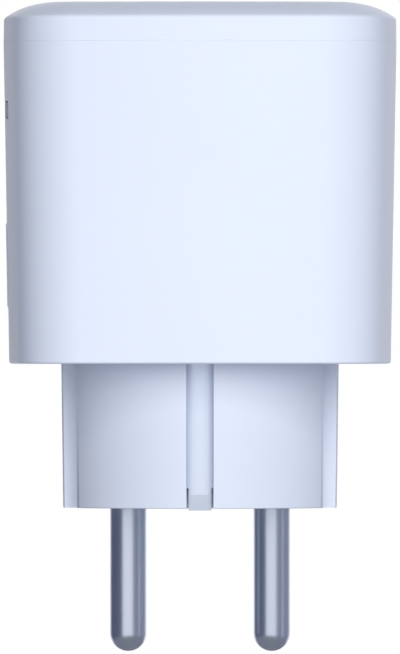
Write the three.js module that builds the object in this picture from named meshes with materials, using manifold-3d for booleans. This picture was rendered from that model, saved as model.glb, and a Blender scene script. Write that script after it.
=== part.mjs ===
// A plug in power meter for round recessed earthed outlets: plug below, socket on top, meter between.
// Millimetres. X runs along the line of the pins, -Y is the front and +Z points out of the socket.
// The origin is the middle of the plug's front face, between the pins.
import * as THREE from "three";
import { mergeVertices } from "three/addons/utils/BufferGeometryUtils.js";
import Module from "manifold-3d";

const wasm = await Module();
wasm.setup();

// Fineness of the round shapes
const roundSegments = 48;
const pinSegments = 24;
const smallSegments = 16;
const wallSteps = 4;
const cornerSteps = 6;
const crownSteps = 5;
const tipSteps = 5;

// Clearances
const fitGap = 0.3;
const closeGap = 0.15;
const pinGap = 0.1;
const overrun = 1;
const weldDistance = 1e-4;

// Pins of the plug, and holes of the socket, on one spacing
const pinSpacing = 19;
const pinRadius = 2.4;
const pinLength = 19;
const pinCollarRadius = 3.6;
const pinCollarHeight = 1.5;
const pinTailRadius = 1.6;
const pinTailProud = 0.45;
const pinX = pinSpacing / 2;

// Socket well in the cover
const wellMargin = 10.25;
const wellRadius = pinX + wellMargin;
const wellDepth = 17.5;
const wellWall = 1.5;
const wellOuterRadius = wellRadius + wellWall;
const wellRimChamfer = 0.4;
const contactHoleRadius = 3;
const ribWidth = 4.8;
const ribReach = 2.3;
const ribStopBelowRim = 1.6;
const earthSlotWidth = 6.4;
const earthSlotBelowRim = 2.2;

// Housing, a rounded square with bulging walls, and its cover
const coverHeight = 5.2;
const wallBulgeRadius = 95;
const cornerRadius = 10;
const backEdgeFillet = 0.35;
const housingWall = 2;
const backWall = 2;
const crownRadius = 9.8;
const crownWidth = 5.9;
const skirtDepth = 3;
const skirtWall = 1.4;
const skirtAir = 1.05;
const roofThickness = 2.5;
const wallDraft = 0.75;
const crownDraft = 0.05;
const halfWidthParting = wellOuterRadius + skirtAir + skirtWall + fitGap + housingWall;
const halfWidthBack = halfWidthParting - wallDraft;
const halfWidthCrownEdge = halfWidthParting - crownDraft;
const insideHalfWidth = halfWidthBack - housingWall;

// Plug body
const plugLength = 19.05;
const plugSlack = 1.45;
const plugDraft = 0.25;
const plugRadiusFace = wellRadius - plugSlack;
const plugRadiusRoot = plugRadiusFace + plugDraft;
const plugEdgeFillet = 0.15;
const guideHalfWidth = 2.75;
const earHalfWidth = 3.9;
const pocketHalfWidth = 9;
const guideDepth = 2.15;
const grooveFloorX = plugRadiusFace - guideDepth;
const baseFlange = 2;

// Earth contacts
const earthStripWidth = 3.5;
const earthStripThickness = 1;
const earthStripDepth = 1.15;
const earthStripBevel = 0.58;
const earthStripBevelDepth = 0.35;
const earthTongueWidth = 3;
const earthTongueHeight = 2.7;
const earthTongueProud = 0.25;
const earthTongueSlope = 0.6;
const earthTongueSlopeHeight = 1.85;
const earthBarHalfWidth = 2;
const earthBarThickness = 0.8;
const earthClipWidth = 5;
const earthClipThickness = 0.8;
const earthClipSeat = 0.75;
const earthClipLegY = wellRadius - earthClipSeat;
const earthClipBulge = 2.4;
const earthClipAboveFloor = 0.9;
const earthClipContactShare = 0.6154;
const earthClipBelowRim = 3.6;

// Main board with the parts it carries
const boardThickness = 1.6;
const boardInset = 1;
const boardScrewInset = { x: 6.25, y: 6.75 };
const boardScrewX = insideHalfWidth - boardScrewInset.x;
const boardScrewY = insideHalfWidth - boardScrewInset.y;
const screwHeadRadius = 2.2;
const screwHeadHeight = 1.3;
const screwShankRadius = 1.15;
const screwShankLength = 3;
const screwSlotWidth = 0.6;
const screwSlotDepth = 0.6;
const bossRadius = 2.6;
const partsRoom = 16.65;
const relayCorner = { x: 3, y: 5.5 };
const relayInset = { x: 1.85, y: 7.55 };
const relayHeadroom = 1.05;
const relaySize = {
  x: insideHalfWidth - relayInset.x - relayCorner.x,
  y: insideHalfWidth - relayInset.y - relayCorner.y,
  z: partsRoom - relayHeadroom,
};
const relayCapStep = 1.6;
const relayCapInset = 0.2;
const filmCapacitorSize = { x: 13, y: 6, z: 11 };
const filmCapacitorCentre = { x: 11.5, y: -9 };
const transformerCoreBand = 4;
const transformerCoreProud = 0.8;
const bulkCapacitor = { radius: 3.6, height: 12.5, x: 8, y: -16.6 };
const outputCapacitor = { radius: 2.6, height: 9, x: -6.4, y: -18.2 };
const inductorPitch = 6.5;
const lineInductor = { radius: 3.2, height: 8, x: inductorPitch - boardScrewX, y: 16.2 };
const crimpDepth = 0.3;
const crimpWidth = 0.6;
const crimpFoot = 1.6;
const drumFlange = 1.3;
const windingDepth = 0.5;
const varistorRadius = 4.6;
const varistorThickness = 4;
const varistorCentre = { x: -8.8, y: 8.6 };
const fusePitch = 4.4;
const fuseResistor = { radius: 1.7, length: 8.5, x: fusePitch - boardScrewX, y: -17.4 };
const shuntSize = { x: 8, y: 3, z: 1.8 };
const shuntCentre = { x: 0, y: -9.5 };
const shuntThickness = 0.7;
const meteringChipSize = { x: 5, y: 8.6, z: 1.7 };
const meteringChipCentre = { x: -2.4, y: 9.5 };

// Socket contacts, one double leaf spring under each hole
const leafThickness = 0.8;
const leafWidth = 5;
const leafInnerGap = 4.4;
const leafLip = 0.9;
const contactFootHeight = 1.2;
const contactHeadroom = 0.95;
const leafHeight = partsRoom - contactFootHeight - leafLip - contactHeadroom;

// Shutter cassette under the socket's floor
const floorThickness = 2;
const floorFlange = 1.2;
const pivotRadius = 1.7;
const shutterThickness = 1.5;
const shutterHubRadius = 3.4;
const shutterPadRadius = 3.9;
const shutterArmHalfWidth = 2.2;
const rampShare = 0.55;
const retainerPlate = 1.5;
const retainerRimGap = 0.8;
const retainerRimRadius = pinX + shutterPadRadius + retainerRimGap;
const retainerRimWall = 1.2;
const cassetteScrewRadius = 11;
const cassetteScrewDegrees = 111;
const cassettePostRadius = 2.3;
const springArmWidth = 0.6;
const springArmHeight = 0.9;
const springArmDegrees = 135;
const springArmBow = 1.1;

// Push button with the switch behind it, the control board, the lamp and the radio
const buttonAboveBase = 2.1;
const buttonRadius = 5.6;
const buttonProud = 0.12;
const buttonFlangeRim = 1.15;
const buttonFlangeRadius = buttonRadius + buttonFlangeRim;
const buttonFlangeThickness = 1;
const buttonFlangeFaceX = insideHalfWidth - closeGap;
const buttonFlangeBackX = buttonFlangeFaceX - buttonFlangeThickness;
const buttonTravel = 0.4;
const buttonToSwitch = 1.25;
const switchSize = 6.2;
const switchDepth = 3.5;
const switchFaceX = buttonToSwitch - buttonFlangeBackX;
const controlFaceX = switchFaceX + switchDepth;
const controlBoardThickness = 1.2;
const controlBoardX = -controlFaceX - closeGap - controlBoardThickness;
const controlBoardHalfWidth = 11.5;
const controlBoardHeight = 15.6;
const transformerGap = 1;
const transformerEndX = -4;
const transformerSize = { x: controlBoardX - transformerGap + transformerEndX, y: 9, z: 9.5 };
const transformerCentre = { x: transformerEndX - transformerSize.x / 2, y: -9.8 };
const switchBoreDepth = 1.4;
const plungerRadius = 1.7;
const plungerProud = 0.8;
const windowBelowParting = 8.92;
const windowBarHeight = 1.95;
const windowBarWidth = 20.4;
const windowGap = 0.22;
const pipeStemWidth = 5;
const pipeStemThickness = 1.3;
const pipeFootHeight = 2;
const pipeFootGap = 0.85;
const lampSize = { x: 0.7, y: 1.6, z: 0.9 };
const radioModuleSize = { x: 0.8, y: 15, z: 11 };
const radioCanSize = { x: 1.4, y: 10, z: 9 };

// Levels above the plug's face, built up from the plug to the rim of the cover
const backZ = plugLength;
const insideZ = backZ + backWall;
const flangeBottomZ = insideZ + closeGap;
const flangeTopZ = flangeBottomZ + baseFlange;
const boardBottomZ = flangeTopZ + pinCollarHeight + fitGap;
const boardTopZ = boardBottomZ + boardThickness;
const partsZ = boardTopZ + fitGap;
const retainerBottomZ = partsZ + partsRoom;
const retainerTopZ = retainerBottomZ + retainerPlate;
const shutterBottomZ = retainerTopZ + fitGap;
const shutterTopZ = shutterBottomZ + shutterThickness;
const floorBottomZ = shutterTopZ + fitGap;
const floorTopZ = floorBottomZ + floorThickness;
const floorFlangeZ = floorBottomZ - fitGap - floorFlange;
const topZ = floorTopZ + wellDepth;
const partingZ = topZ - coverHeight;
const crownRise = crownRadius - Math.sqrt(crownRadius ** 2 - crownWidth ** 2);
const crownEdgeZ = topZ - crownRise;
const windowZ = partingZ - windowBelowParting;
const buttonZ = flangeTopZ + buttonFlangeRadius + buttonAboveBase;
const pipeFootZ = buttonZ + buttonFlangeRadius + pipeFootGap;

// Half of the housing's width at a level: the walls widen to the parting line and draw in a little above it.
function halfWidthAt(z) {
  if (z <= partingZ) {
    return halfWidthBack + (wallDraft * (z - backZ)) / (partingZ - backZ);
  }
  return halfWidthParting - (crownDraft * (z - partingZ)) / (crownEdgeZ - partingZ);
}

// The outline of a rounded square with bulging walls, drawn in by an inset that keeps it parallel.
function roundedSquare(halfWidth, inset = 0) {
  const bulgeCentre = wallBulgeRadius - halfWidth;
  const reach = wallBulgeRadius - cornerRadius;
  const cornerCentre = (Math.sqrt(2 * reach ** 2 - bulgeCentre ** 2) - bulgeCentre) / 2;
  const turn = Math.atan2(cornerCentre, cornerCentre + bulgeCentre);
  const wall = wallBulgeRadius - inset;
  const corner = cornerRadius - inset;
  const quarter = [];
  for (let i = 0; i < wallSteps; i++) {
    const a = (turn * i) / wallSteps;
    quarter.push(new THREE.Vector2(wall * Math.cos(a) - bulgeCentre, wall * Math.sin(a)));
  }
  for (let i = 0; i < cornerSteps; i++) {
    const a = turn + ((Math.PI / 2 - 2 * turn) * i) / cornerSteps;
    quarter.push(
      new THREE.Vector2(cornerCentre + corner * Math.cos(a), cornerCentre + corner * Math.sin(a)),
    );
  }
  for (let i = 0; i < wallSteps; i++) {
    const a = Math.PI / 2 - (turn * (wallSteps - i)) / wallSteps;
    quarter.push(new THREE.Vector2(wall * Math.cos(a), wall * Math.sin(a) - bulgeCentre));
  }
  const outline = [];
  for (let side = 0; side < 4; side++) {
    const middle = new THREE.Vector2();
    quarter.forEach((p) => outline.push(p.clone().rotateAround(middle, (side * Math.PI) / 2)));
  }
  return outline;
}

function circle(radius, segments = roundSegments) {
  return Array.from({ length: segments }, (_, i) => {
    const a = (2 * Math.PI * i) / segments;
    return new THREE.Vector2(radius * Math.cos(a), radius * Math.sin(a));
  });
}

// A closed body through a stack of outlines with equally many points, each given with its level.
function loft(levels) {
  const count = levels[0].outline.length;
  const positions = [];
  levels.forEach(({ outline, z }) => outline.forEach((p) => positions.push(p.x, p.y, z)));
  const index = [];
  for (let level = 0; level + 1 < levels.length; level++) {
    for (let i = 0; i < count; i++) {
      const a = level * count + i;
      const b = level * count + ((i + 1) % count);
      index.push(a, b, b + count, a, b + count, a + count);
    }
  }
  const bottom = positions.length / 3;
  positions.push(0, 0, levels[0].z, 0, 0, levels.at(-1).z);
  const last = (levels.length - 1) * count;
  for (let i = 0; i < count; i++) {
    const next = (i + 1) % count;
    index.push(bottom, next, i);
    index.push(bottom + 1, last + i, last + next);
  }
  const geometry = new THREE.BufferGeometry();
  geometry.setAttribute("position", new THREE.Float32BufferAttribute(positions, 3));
  geometry.setIndex(index);
  return geometry;
}

// Turns a closed geometry into a solid that can be joined and cut.
function solid(geometry) {
  const bare = geometry.clone();
  bare.deleteAttribute("normal");
  bare.deleteAttribute("uv");
  const merged = mergeVertices(bare, weldDistance);
  return new wasm.Manifold(
    new wasm.Mesh({
      numProp: 3,
      vertProperties: new Float32Array(merged.attributes.position.array),
      triVerts: new Uint32Array(merged.index.array),
    }),
  );
}

// Turns a solid back into a geometry.
function geometryOf(body) {
  const mesh = body.getMesh();
  const geometry = new THREE.BufferGeometry();
  geometry.setAttribute("position", new THREE.BufferAttribute(mesh.vertProperties, mesh.numProp));
  geometry.setIndex(new THREE.BufferAttribute(mesh.triVerts, 1));
  const flat = geometry.toNonIndexed();
  flat.computeVertexNormals();
  return flat;
}

function block(x0, x1, y0, y1, z0, z1) {
  const box = new THREE.BoxGeometry(x1 - x0, y1 - y0, z1 - z0);
  box.translate((x0 + x1) / 2, (y0 + y1) / 2, (z0 + z1) / 2);
  return solid(box);
}

// A block given by its size, standing on a level about a centre in plan.
function standing(size, centre, z0) {
  const halfX = size.x / 2;
  const halfY = size.y / 2;
  return block(
    centre.x - halfX,
    centre.x + halfX,
    centre.y - halfY,
    centre.y + halfY,
    z0,
    z0 + size.z,
  );
}

function upright(radius, x, y, z0, z1, segments = smallSegments) {
  const cylinder = new THREE.CylinderGeometry(radius, radius, z1 - z0, segments);
  cylinder.rotateX(Math.PI / 2);
  cylinder.translate(x, y, (z0 + z1) / 2);
  return solid(cylinder);
}

// A round bar along X.
function sideways(radius, x0, x1, y, z, segments = smallSegments) {
  const cylinder = new THREE.CylinderGeometry(radius, radius, x1 - x0, segments);
  cylinder.rotateZ(Math.PI / 2);
  cylinder.translate((x0 + x1) / 2, y, z);
  return solid(cylinder);
}

function tube(outline, z0, z1) {
  return solid(
    loft([
      { outline, z: z0 },
      { outline, z: z1 },
    ]),
  );
}

// A body turned about Z.
function turned(body, degrees) {
  return body.rotate([0, 0, degrees]);
}

// An outline in the plane of Y and Z, given as pairs, pulled along X about the middle.
function pulledAlongX(points, width) {
  const shape = new THREE.Shape(points.map(([y, z]) => new THREE.Vector2(y, z)));
  const geometry = new THREE.ExtrudeGeometry(shape, { depth: width, bevelEnabled: false });
  geometry.translate(0, 0, -width / 2);
  geometry.rotateY(Math.PI / 2);
  geometry.rotateX(Math.PI / 2);
  return solid(geometry);
}

// A strip of even thickness along a path in the plane of Y and Z, thickened towards +Y.
function bentStrip(path, thickness, width) {
  const outer = path.map(([y, z]) => [y + thickness, z]).reverse();
  return pulledAlongX([...path, ...outer], width);
}

// Materials
function finish(color, roughness, metalness = 0) {
  return new THREE.MeshStandardMaterial({ color, roughness, metalness });
}

const finishes = {
  shell: finish(0xe9f0fc, 0.45),
  plug: finish(0xe6edfa, 0.5),
  button: finish(0xe4ecfa, 0.4),
  lens: finish(0xb9bec6, 0.3),
  nickel: finish(0xb9bcc2, 0.28, 1),
  contact: finish(0xc9a768, 0.35, 1),
  board: finish(0x1e5b3a, 0.55),
  blackPlastic: finish(0x1d1e21, 0.5),
  relay: finish(0x27282c, 0.45),
  yellowFilm: finish(0xd8b13a, 0.5),
  aluminium: finish(0xc4c7cb, 0.35, 1),
  varistor: finish(0x2f5fa8, 0.5),
  ceramic: finish(0x7fa5a0, 0.6),
  steel: finish(0xa9acb1, 0.35, 1),
  shunt: finish(0xb98d63, 0.4, 1),
  lamp: finish(0xf2efe2, 0.4),
};

const meter = new THREE.Group();
const socketGroup = new THREE.Group();
const plugGroup = new THREE.Group();
const electronicsGroup = new THREE.Group();
const controlGroup = new THREE.Group();
meter.add(socketGroup, plugGroup, electronicsGroup, controlGroup);

function add(group, name, body, material) {
  const mesh = new THREE.Mesh(geometryOf(body), material);
  mesh.name = name;
  group.add(mesh);
  return mesh;
}

// Places a body made about its own origin.
function place(group, name, body, material, x, y, z) {
  const mesh = add(group, name, body, material);
  mesh.position.set(x, y, z);
  return mesh;
}

// The whole outer form of the housing below the parting line, with an inset from its surface.
function housingForm(inset, bottom, top) {
  return solid(
    loft([
      { outline: roundedSquare(halfWidthAt(bottom), inset), z: bottom },
      { outline: roundedSquare(halfWidthAt(top), inset), z: top },
    ]),
  );
}

// Housing shell: four walls and the back, with holes for the plug, the button and the lamp window
function housingShell() {
  const filletTop = backZ + backEdgeFillet;
  const outer = solid(
    loft([
      { outline: roundedSquare(halfWidthBack, backEdgeFillet), z: backZ },
      { outline: roundedSquare(halfWidthAt(filletTop)), z: filletTop },
      { outline: roundedSquare(halfWidthParting), z: partingZ },
    ]),
  );
  const hollow = housingForm(housingWall, insideZ, partingZ + overrun);
  const plugHole = tube(circle(plugRadiusRoot + closeGap), backZ - overrun, insideZ + overrun);
  const farX = -halfWidthParting - overrun;
  const nearX = -insideHalfWidth + overrun;
  const buttonHole = sideways(buttonRadius + closeGap, farX, nearX, 0, buttonZ, pinSegments);
  const halfBar = windowBarWidth / 2 + windowGap;
  const windowReach = windowBarHeight / 2 + windowGap;
  const window = block(
    farX,
    nearX - overrun,
    -halfBar,
    halfBar,
    windowZ - windowReach,
    windowZ + windowReach,
  );
  return outer.subtract(hollow).subtract(plugHole).subtract(buttonHole).subtract(window);
}
add(meter, "housing_shell", housingShell(), finishes.shell);

// Socket cover: crowned rim, skirt and the wall of the well with its guide ribs and earth slots
function crownLevels(inset) {
  const levels = [
    { outline: roundedSquare(halfWidthParting, inset), z: partingZ },
    { outline: roundedSquare(halfWidthCrownEdge, inset), z: crownEdgeZ },
  ];
  const sweep = Math.asin(crownWidth / crownRadius);
  for (let step = 1; step <= crownSteps; step++) {
    const a = sweep * (1 - step / crownSteps);
    const drawnIn = crownWidth - crownRadius * Math.sin(a);
    const z = topZ - crownRadius * (1 - Math.cos(a));
    levels.push({ outline: roundedSquare(halfWidthCrownEdge, inset + drawnIn), z });
  }
  return levels;
}

function socketCover() {
  const skirtInset = housingWall + fitGap;
  const skirtBottom = partingZ - skirtDepth;
  const hollowInset = skirtInset + skirtWall;
  const crown = solid(loft(crownLevels(0)));
  const skirt = housingForm(skirtInset, skirtBottom, partingZ + overrun);
  const hollow = solid(
    loft([
      { outline: roundedSquare(halfWidthAt(skirtBottom), hollowInset), z: skirtBottom - overrun },
      { outline: roundedSquare(halfWidthCrownEdge, hollowInset), z: topZ - roofThickness },
    ]),
  );
  const wellTube = tube(circle(wellOuterRadius), floorBottomZ, topZ - roofThickness / 2);
  const bore = tube(circle(wellRadius), floorBottomZ - overrun, topZ + overrun);
  const rim = solid(
    loft([
      { outline: circle(wellRadius), z: topZ - wellRimChamfer },
      { outline: circle(wellRadius + wellRimChamfer), z: topZ },
      { outline: circle(wellRadius + wellRimChamfer), z: topZ + overrun },
    ]),
  );
  let cover = crown.add(skirt).subtract(hollow).add(wellTube).subtract(bore).subtract(rim);
  const slotHalf = earthSlotWidth / 2;
  const slotTop = topZ - earthSlotBelowRim;
  for (const side of [-1, 1]) {
    const inner = side * (wellRadius - ribReach);
    const outer = side * (wellRadius + wellWall / 2);
    const rib = block(
      Math.min(inner, outer),
      Math.max(inner, outer),
      -ribWidth / 2,
      ribWidth / 2,
      floorTopZ + fitGap,
      topZ - ribStopBelowRim,
    );
    const y0 = side * (wellRadius - wellWall);
    const y1 = side * (wellOuterRadius + overrun / 2);
    const slot = block(
      -slotHalf,
      slotHalf,
      Math.min(y0, y1),
      Math.max(y0, y1),
      floorBottomZ - overrun,
      slotTop,
    );
    cover = cover.add(rib).subtract(slot);
  }
  return cover;
}
add(socketGroup, "socket_cover", socketCover(), finishes.shell);

// Shutter cassette: the well's floor, the turning shutter with its spring, and the retainer that holds them
function cassettePlaces() {
  return [cassetteScrewDegrees, cassetteScrewDegrees + 180].map((degrees) => {
    const a = THREE.MathUtils.degToRad(degrees);
    return { x: cassetteScrewRadius * Math.cos(a), y: cassetteScrewRadius * Math.sin(a) };
  });
}

function earthLegSlots(z0, z1) {
  const half = earthClipWidth / 2 + fitGap;
  const inner = earthClipLegY - fitGap;
  const outer = wellOuterRadius + overrun;
  return block(-half, half, inner, outer, z0, z1).add(block(-half, half, -outer, -inner, z0, z1));
}

function socketFloor() {
  const disc = tube(circle(wellRadius - closeGap), floorBottomZ - fitGap, floorTopZ);
  const flange = tube(circle(wellOuterRadius), floorFlangeZ, floorBottomZ - fitGap);
  const underRadius = retainerRimRadius + retainerRimWall + fitGap;
  const under = tube(circle(underRadius), floorFlangeZ - overrun, shutterTopZ);
  let floor = disc.add(flange).subtract(under);
  const screwHoleZ = floorFlangeZ - overrun - screwShankLength;
  for (const { x, y } of cassettePlaces()) {
    floor = floor.add(upright(cassettePostRadius, x, y, retainerTopZ + fitGap, floorTopZ - overrun));
    floor = floor.subtract(upright(screwShankRadius + pinGap, x, y, screwHoleZ, floorBottomZ));
  }
  floor = floor.add(upright(pivotRadius, 0, 0, retainerTopZ + fitGap, floorTopZ - overrun));
  const z0 = floorFlangeZ - overrun;
  const z1 = floorTopZ + overrun;
  for (const side of [-1, 1]) {
    floor = floor.subtract(upright(contactHoleRadius, side * pinX, 0, z0, z1, pinSegments));
  }
  return floor.subtract(earthLegSlots(z0, z1));
}
add(socketGroup, "socket_floor", socketFloor(), finishes.shell);

function shutter() {
  const arm = block(-pinX, pinX, -shutterArmHalfWidth, shutterArmHalfWidth, shutterBottomZ, shutterTopZ);
  let plate = arm.add(upright(shutterHubRadius, 0, 0, shutterBottomZ, shutterTopZ, pinSegments));
  for (const side of [-1, 1]) {
    plate = plate.add(
      upright(shutterPadRadius, side * pinX, 0, shutterBottomZ, shutterTopZ, pinSegments),
    );
    // The ramp falls across the pad, so that an entering pin pushes the shutter round.
    const low = shutterTopZ - shutterThickness * rampShare;
    const edge = -side * shutterPadRadius;
    const beyond = edge - side * overrun;
    const wedge = pulledAlongX(
      [
        [0, shutterTopZ],
        [edge, low],
        [beyond, low],
        [beyond, shutterTopZ + overrun],
        [0, shutterTopZ + overrun],
      ],
      2 * shutterPadRadius + overrun,
    ).translate([side * pinX, 0, 0]);
    plate = plate.subtract(wedge);
  }
  return plate.subtract(
    upright(pivotRadius + fitGap, 0, 0, shutterBottomZ - overrun, shutterTopZ + overrun, pinSegments),
  );
}
add(socketGroup, "shutter", shutter(), finishes.plug);

// Two bowed arms of spring strip run from the shutter's hub to the retainer's rim.
function shutterSpring() {
  const reach = retainerRimRadius - fitGap;
  const start = shutterHubRadius + fitGap;
  const z0 = shutterBottomZ + fitGap;
  const steps = smallSegments;
  const inner = [];
  const outer = [];
  for (let i = 0; i <= steps; i++) {
    const share = i / steps;
    const x = start + (reach - start) * share;
    const bow = springArmBow * Math.sin(Math.PI * 2 * share);
    inner.push(new THREE.Vector2(x, bow - springArmWidth / 2));
    outer.unshift(new THREE.Vector2(x, bow + springArmWidth / 2));
  }
  const geometry = new THREE.ExtrudeGeometry(new THREE.Shape([...inner, ...outer]), {
    depth: springArmHeight,
    bevelEnabled: false,
  });
  geometry.translate(0, 0, z0);
  return solid(geometry);
}
for (const [name, degrees] of [
  ["shutter_spring_back", springArmDegrees],
  ["shutter_spring_front", springArmDegrees + 180],
]) {
  add(socketGroup, name, turned(shutterSpring(), degrees), finishes.steel);
}

function shutterRetainer() {
  const plate = tube(circle(retainerRimRadius + retainerRimWall), retainerBottomZ, retainerTopZ);
  const rim = tube(circle(retainerRimRadius + retainerRimWall), retainerTopZ, shutterTopZ - fitGap);
  const inside = tube(circle(retainerRimRadius), retainerTopZ, shutterTopZ + overrun);
  let retainer = plate.add(rim.subtract(inside));
  const z0 = retainerBottomZ - overrun;
  const z1 = retainerTopZ + overrun;
  for (const { x, y } of cassettePlaces()) {
    retainer = retainer.subtract(upright(screwShankRadius + pinGap, x, y, z0, z1));
  }
  for (const side of [-1, 1]) {
    retainer = retainer.subtract(upright(contactHoleRadius, side * pinX, 0, z0, z1, pinSegments));
  }
  return retainer;
}
add(socketGroup, "shutter_retainer", shutterRetainer(), finishes.plug);

// A slotted screw made about the underside of its head, with the head upwards
function screw(shankLength) {
  const head = upright(screwHeadRadius, 0, 0, 0, screwHeadHeight);
  const shank = upright(screwShankRadius, 0, 0, -shankLength, screwHeadHeight / 2);
  const slot = block(
    -screwHeadRadius - overrun,
    screwHeadRadius + overrun,
    -screwSlotWidth / 2,
    screwSlotWidth / 2,
    screwHeadHeight - screwSlotDepth,
    screwHeadHeight + overrun,
  );
  return head.add(shank).subtract(slot);
}

function cassetteScrews() {
  const names = ["cassette_screw_back", "cassette_screw_front"];
  cassettePlaces().forEach(({ x, y }, i) => {
    const body = screw(screwShankLength).rotate([180, 0, 0]);
    place(socketGroup, names[i], body, finishes.steel, x, y, retainerBottomZ - closeGap);
  });
}
cassetteScrews();

// Socket contacts: two leaves on a base, standing on the main board over the pin's tail
function socketContact() {
  const half = leafInnerGap / 2;
  const baseZ = partsZ + contactFootHeight;
  const topLeafZ = baseZ + leafHeight;
  const lipZ = topLeafZ + leafLip;
  let contact = block(
    -leafWidth / 2,
    leafWidth / 2,
    -half - leafThickness,
    half + leafThickness,
    baseZ,
    baseZ + leafThickness,
  );
  for (const side of [-1, 1]) {
    const strip = bentStrip(
      [
        [half, baseZ],
        [half, topLeafZ],
        [half + leafLip, lipZ],
      ],
      leafThickness,
      leafWidth,
    );
    contact = contact.add(side > 0 ? strip : strip.mirror([0, 1, 0]));
    const footX = side * (leafWidth / 2 - leafThickness);
    contact = contact.add(
      block(
        Math.min(footX, footX + side * leafThickness),
        Math.max(footX, footX + side * leafThickness),
        -half,
        half,
        partsZ,
        baseZ + leafThickness / 2,
      ),
    );
  }
  return contact;
}
place(socketGroup, "socket_contact_left", socketContact(), finishes.contact, -pinX, 0, 0);
place(socketGroup, "socket_contact_right", socketContact(), finishes.contact, pinX, 0, 0);

// Earth clips: a leg from the main board that bends into the well and back out at its tip
function earthClip() {
  const bendZ = floorTopZ + earthClipAboveFloor;
  const tipZ = topZ - earthClipBelowRim;
  const contactZ = bendZ + (tipZ - bendZ) * earthClipContactShare;
  return bentStrip(
    [
      [earthClipLegY, partsZ],
      [earthClipLegY, bendZ],
      [earthClipLegY - earthClipBulge, contactZ],
      [earthClipLegY - earthClipBulge, contactZ + earthClipThickness],
      [earthClipLegY - earthClipThickness / 2, tipZ],
    ],
    earthClipThickness,
    earthClipWidth,
  );
}
add(socketGroup, "socket_earth_clip_back", earthClip(), finishes.nickel);
add(socketGroup, "socket_earth_clip_front", turned(earthClip(), 180), finishes.nickel);

// Plug base: the round plug body with its grooves, and the flange that sits inside the housing
function boardScrewPlaces() {
  return [
    { name: "board_screw_front_left", x: -boardScrewX, y: -boardScrewY },
    { name: "board_screw_front_right", x: boardScrewX, y: -boardScrewY },
    { name: "board_screw_back_left", x: -boardScrewX, y: boardScrewY },
  ];
}

const earthStripFaceY = plugRadiusFace - earthStripDepth;
const earthStripBackY = earthStripFaceY - earthStripThickness;

function plugBase() {
  const body = solid(
    loft([
      { outline: circle(plugRadiusFace - plugEdgeFillet), z: 0 },
      { outline: circle(plugRadiusFace), z: plugEdgeFillet },
      { outline: circle(plugRadiusRoot), z: backZ },
      { outline: circle(plugRadiusRoot), z: flangeTopZ },
    ]),
  );
  const flange = tube(roundedSquare(halfWidthBack, housingWall + fitGap), flangeBottomZ, flangeTopZ);
  let base = body.add(flange);
  const farX = plugRadiusRoot + overrun;
  for (const side of [-1, 1]) {
    const inner = side * grooveFloorX;
    const outer = side * farX;
    const x0 = Math.min(inner, outer);
    const x1 = Math.max(inner, outer);
    base = base.subtract(block(x0, x1, -guideHalfWidth, guideHalfWidth, -overrun, backZ));
    base = base.subtract(block(x0, x1, earHalfWidth, pocketHalfWidth, -overrun, backZ));
    base = base.subtract(block(x0, x1, -pocketHalfWidth, -earHalfWidth, -overrun, backZ));
    base = base.subtract(
      upright(pinRadius + pinGap, side * pinX, 0, -overrun, flangeTopZ + overrun, pinSegments),
    );
  }
  const half = earthStripWidth / 2 + pinGap;
  const inner = earthStripBackY - closeGap;
  const through = earthStripFaceY + closeGap;
  for (const side of [-1, 1]) {
    const groove = block(-half, half, inner, plugRadiusRoot + overrun, -overrun, backZ);
    const slot = block(-half, half, inner, through, -overrun, flangeTopZ + overrun);
    const cut = groove.add(slot);
    base = base.subtract(side > 0 ? cut : turned(cut, 180));
  }
  for (const { x, y } of boardScrewPlaces()) {
    base = base.add(upright(bossRadius, x, y, flangeBottomZ + overrun, boardBottomZ - closeGap));
    base = base.subtract(
      upright(screwShankRadius + pinGap, x, y, flangeBottomZ + overrun / 2, boardTopZ),
    );
  }
  return base;
}
add(plugGroup, "plug_base", plugBase(), finishes.plug);

// Pins: a round tip, a straight shank, a collar above the flange and a tail through the board
function pin() {
  const tipZ = -pinLength;
  const profile = [];
  for (let i = 0; i <= tipSteps; i++) {
    const a = (Math.PI / 2) * (i / tipSteps);
    profile.push([pinRadius * Math.sin(a), tipZ + pinRadius * (1 - Math.cos(a))]);
  }
  profile[0][0] = 0;
  const collarZ = flangeTopZ + closeGap;
  const collarTop = collarZ + pinCollarHeight;
  const tailTop = boardTopZ + pinTailProud;
  profile.push([pinRadius, collarZ]);
  profile.push([pinCollarRadius, collarZ]);
  profile.push([pinCollarRadius, collarTop]);
  profile.push([pinTailRadius, collarTop]);
  profile.push([pinTailRadius, tailTop]);
  profile.push([0, tailTop]);
  const lathe = new THREE.LatheGeometry(
    profile.map(([r, z]) => new THREE.Vector2(r, z)),
    pinSegments,
  );
  lathe.rotateX(Math.PI / 2);
  return solid(lathe);
}
place(plugGroup, "pin_left", pin(), finishes.nickel, -pinX, 0, 0);
place(plugGroup, "pin_right", pin(), finishes.nickel, pinX, 0, 0);

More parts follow.
